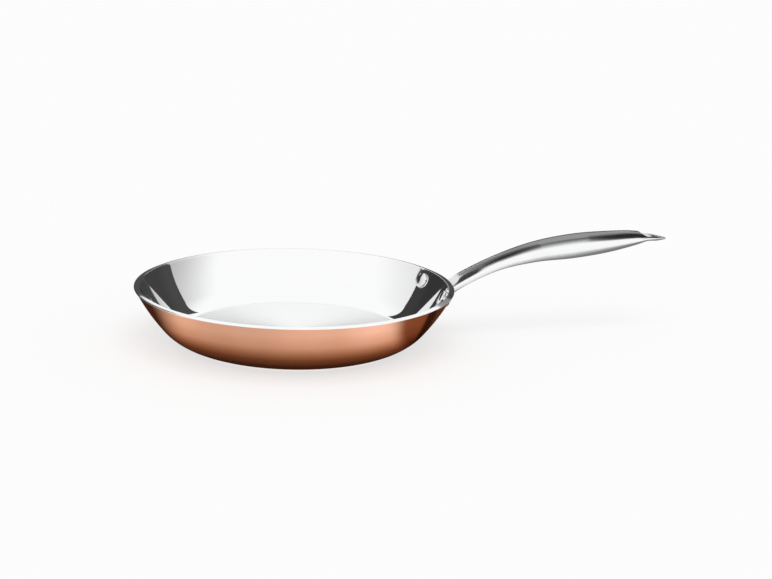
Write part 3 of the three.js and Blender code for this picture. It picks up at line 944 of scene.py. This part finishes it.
# Cards that soften out towards their edges. Shade is their brightness, and fade the share of the way
# in over which they soften. Roundness 1 softens them all round; with less, their two ends stay harder.
SoftCard = namedtuple(
    "SoftCard", "name place half_width half_depth shade fade roundness tint", defaults=[WHITE]
)
SOFT_CARDS = [
    # Under and beside the pan, for the copper: the white paper, with painted shade and a painted pool of
    # light on it, which only the metal shows
    SoftCard("paper_card", on_floor(0, 0, 1), 0.2, 0.2, 0.9, 0.3, 1),
    # Painted shade of the pan on the floor to its left
    SoftCard("left_painted_shade_card", on_floor(-0.125, 0.052, 3), 0.1, 0.13, 0.06, 0.6, 1, COPPER_LIT_SHADE),
    # Painted shade on the floor to the pan's right
    SoftCard("right_floor_card", on_floor(0.12, 0.003, 4), 0.045, 0.103, 0.25, 0.4, 1, COPPER_LIT_SHADE),
    # Deeper painted shade to the pan's right and behind
    SoftCard("right_deep_painted_shade_card", on_floor(0.11, 0.03, 7), 0.04, 0.0575, 0.1, 0.25, 0.6, COPPER_LIT_SHADE),
    # A darker painted stripe of shade there
    SoftCard("right_painted_shade_stripe_card", on_floor(0.115, -0.003, 8), 0.04, 0.018, 0.035, 0.3, 0.5, COPPER_LIT_SHADE),
    # Painted shade: the floor dimmer in front and to the left, where less light falls
    SoftCard("front_painted_shade_card", on_floor(-0.055, -0.12, 5), 0.075, 0.12, 0.74, 0.8, 1),
    # A painted pool of light on the floor in front and to the right
    SoftCard("painted_light_pool_card", on_floor(0.086, -0.098, 6), 0.05, 0.05, 1.3, 1, 1, COOL_WHITE),
    # Under the handle: painted shadow of the handle on the floor, and the white paper by its root, which
    # only the metal shows
    SoftCard("handle_painted_shadow_card", on_floor(0.3, 0.17, 2), 0.26, 0.2, 0.2, 0.55, 1),
    SoftCard("root_paper_card", on_floor(0.164, 0.035, 9), 0.026, 0.04, 0.8, 0.4, 1),
    # Over the handle, for the grey and dark bands along it
    SoftCard("handle_grey_card", over_handle(0.022, 0.065, -1.5 * MM), 0.095, 0.065, 0.31, 0.1, 1),
    SoftCard("handle_dark_card", over_handle(0.039, 0.008, 0), 0.101, 0.068, 0.05, 1, 0.35),
    SoftCard("neck_grey_card", over_neck(0.019, 0.05, 17 * MM), 0.05, 0.034, 0.26, 0.3, 1),
    SoftCard("neck_dark_card", over_neck(0.026, 0.008, 1 * MM), 0.036, 0.016, 0.03, 0.9, 0.5),
    SoftCard("root_dark_card", over_neck(-0.006, 0, 0), 0.018, 0.017, 0.05, 0.5, 1),
    SoftCard("root_front_card", seen(0.125, -0.045, 0.1), 0.035, 0.04, 0.15, 0.6, 1),
    SoftCard("tail_dark_card", over_handle(0.13, -0.012, -2 * MM), 0.1, 0.06, 0.02, 0.5, 0.7),
    # Behind and beside the handle, for its two flats
    SoftCard("root_white_card", standing(*BEHIND_ROOT, ROOT_CARD_TURN), 0.02, 0.014, 0.87, 0.6, 1),
    SoftCard("tail_white_card", standing(0.312, 0.18, 0.085), 0.05, 0.026, 1, 0.6, 1),
    SoftCard("tail_side_card", standing(0.31, 0.07, 0.106, SIDEWAYS), 0.03, 0.03, 0.02, 0.8, 1),
    # Far to the right and left, for the lining
    SoftCard("right_veil", beside_pan(VEIL_TURN), 3, 3.3, 0.31, 1, 0.5),
    SoftCard("left_veil", beside_pan(-VEIL_TURN), 3, 3.3, 0.75, 1, 0.5),
]


def soft_card(card):
    plane = level_plane(card.name, card.place, card.half_width, card.half_depth)
    material, tree = new_material(card.name)
    place = add(tree, "ShaderNodeTexCoord").outputs["Object"]
    stretch = (card.roundness, 1, 1)
    spot = add(tree, "ShaderNodeVectorMath", {0: place, 1: stretch}, operation="MULTIPLY")
    way_in = add(tree, "ShaderNodeTexGradient", {"Vector": spot}, gradient_type="SPHERICAL").outputs["Fac"]
    limits = {"From Min": 0, "From Max": card.fade}
    cover = add(tree, "ShaderNodeMapRange", {"Value": way_in, **limits}, interpolation_type="SMOOTHSTEP")
    paint = add(tree, "ShaderNodeEmission", {"Color": linear(card.tint), "Strength": card.shade})
    clear = add(tree, "ShaderNodeBsdfTransparent")
    shader = add(tree, "ShaderNodeMixShader", {0: cover, 1: clear, 2: paint})
    add(tree, "ShaderNodeOutputMaterial", {"Surface": shader})
    plane.data.materials.append(material)
    only_reflected(plane)


# The pan's shade on the paper, as the copper shows it: from one radius to the next, it deepens to a colour
SHADE_STEPS = [
    (125 * MM, 111 * MM, "#e7dcd3"),
    (111 * MM, 103 * MM, "#ad9583"),
    (103 * MM, 98 * MM, "#7b5d46"),
    (98 * MM, 88 * MM, "#3f3027"),
    (88 * MM, 60 * MM, "#20160f"),
]


def shade_under_pan():
    """A filter over the floor cards: the pan's own shade, warm with light that the copper gives back."""
    plane = level_plane("shade_card", on_floor(0, 0, SHADE_LAYER), 1, 1)
    material, tree = new_material("shaded_paper")
    place = add(tree, "ShaderNodeTexCoord").outputs["Object"]
    radius = from_axis(tree, place)
    colour = linear(WHITE)
    for far, near, deeper in SHADE_STEPS:
        share = add(tree, "ShaderNodeMapRange", {"Value": radius, "From Min": far, "From Max": near})
        colours = {"A": colour, "B": linear(deeper)}
        colour = add(tree, "ShaderNodeMix", {"Factor": share, **colours}, data_type="RGBA")
    shader = add(tree, "ShaderNodeBsdfTransparent", {"Color": colour})
    add(tree, "ShaderNodeOutputMaterial", {"Surface": shader})
    plane.data.materials.append(material)
    only_reflected(plane)


def seen_or_reflected(tree):
    """One where the camera sees a surface, directly or in metal, and nought for its light elsewhere."""
    path = add(tree, "ShaderNodeLightPath")
    ray = path.outputs["Is Camera Ray"]
    for other in ("Is Glossy Ray", "Is Transmission Ray"):
        ray = add(tree, "ShaderNodeMath", {0: ray, 1: path.outputs[other]}, operation="MAXIMUM")
    return ray


def paper_floor():
    """White paper. The camera and the metal see it part lit, part plain white: it keeps a soft shadow."""
    floor = level_plane("floor", Matrix.Identity(4), FLOOR_HALF, FLOOR_HALF)
    material, tree = new_material("white_paper")
    lit = add(tree, "ShaderNodeBsdfDiffuse", {"Color": linear("#fafafa")})
    plain = add(tree, "ShaderNodeEmission", {"Color": linear("#fefefe")})
    share = add(tree, "ShaderNodeMapRange", {"Value": seen_or_reflected(tree), "To Max": PLAIN_SHARE})
    shader = add(tree, "ShaderNodeMixShader", {0: share, 1: lit, 2: plain})
    add(tree, "ShaderNodeOutputMaterial", {"Surface": shader})
    floor.data.materials.append(material)


def front_lamp():
    """A broad soft lamp above and in front. It lights the paper; the metal shows the white round it."""
    data = bpy.data.lights.new("front_lamp", "SUN")
    data.angle = LAMP_SPREAD
    data.energy = LAMP_STRENGTH
    lamp = bpy.data.objects.new("front_lamp", data)
    lamp.matrix_world = shot @ Matrix.Rotation(LAMP_SWING, 4, "Z") @ Matrix.Rotation(LAMP_TILT, 4, "X")
    lamp.visible_glossy = False
    bpy.context.scene.collection.objects.link(lamp)


def white_world():
    world = bpy.data.worlds.new("studio")
    bpy.context.scene.world = world
    world.use_nodes = True
    tree = world.node_tree
    tree.nodes.clear()
    strength = add(tree, "ShaderNodeMapRange", {"Value": seen_or_reflected(tree), "To Min": SKY_SHARE})
    background = add(tree, "ShaderNodeBackground", {"Color": linear(WHITE), "Strength": strength})
    add(tree, "ShaderNodeOutputWorld", {"Surface": background})


def studio():
    paper_floor()
    for card in BACK_CARDS:
        back_card(card)
    shade_under_pan()
    for card in SOFT_CARDS:
        soft_card(card)
    front_lamp()
    white_world()


photographers_camera()
studio()
bpy.context.scene.view_settings.view_transform = "Standard"
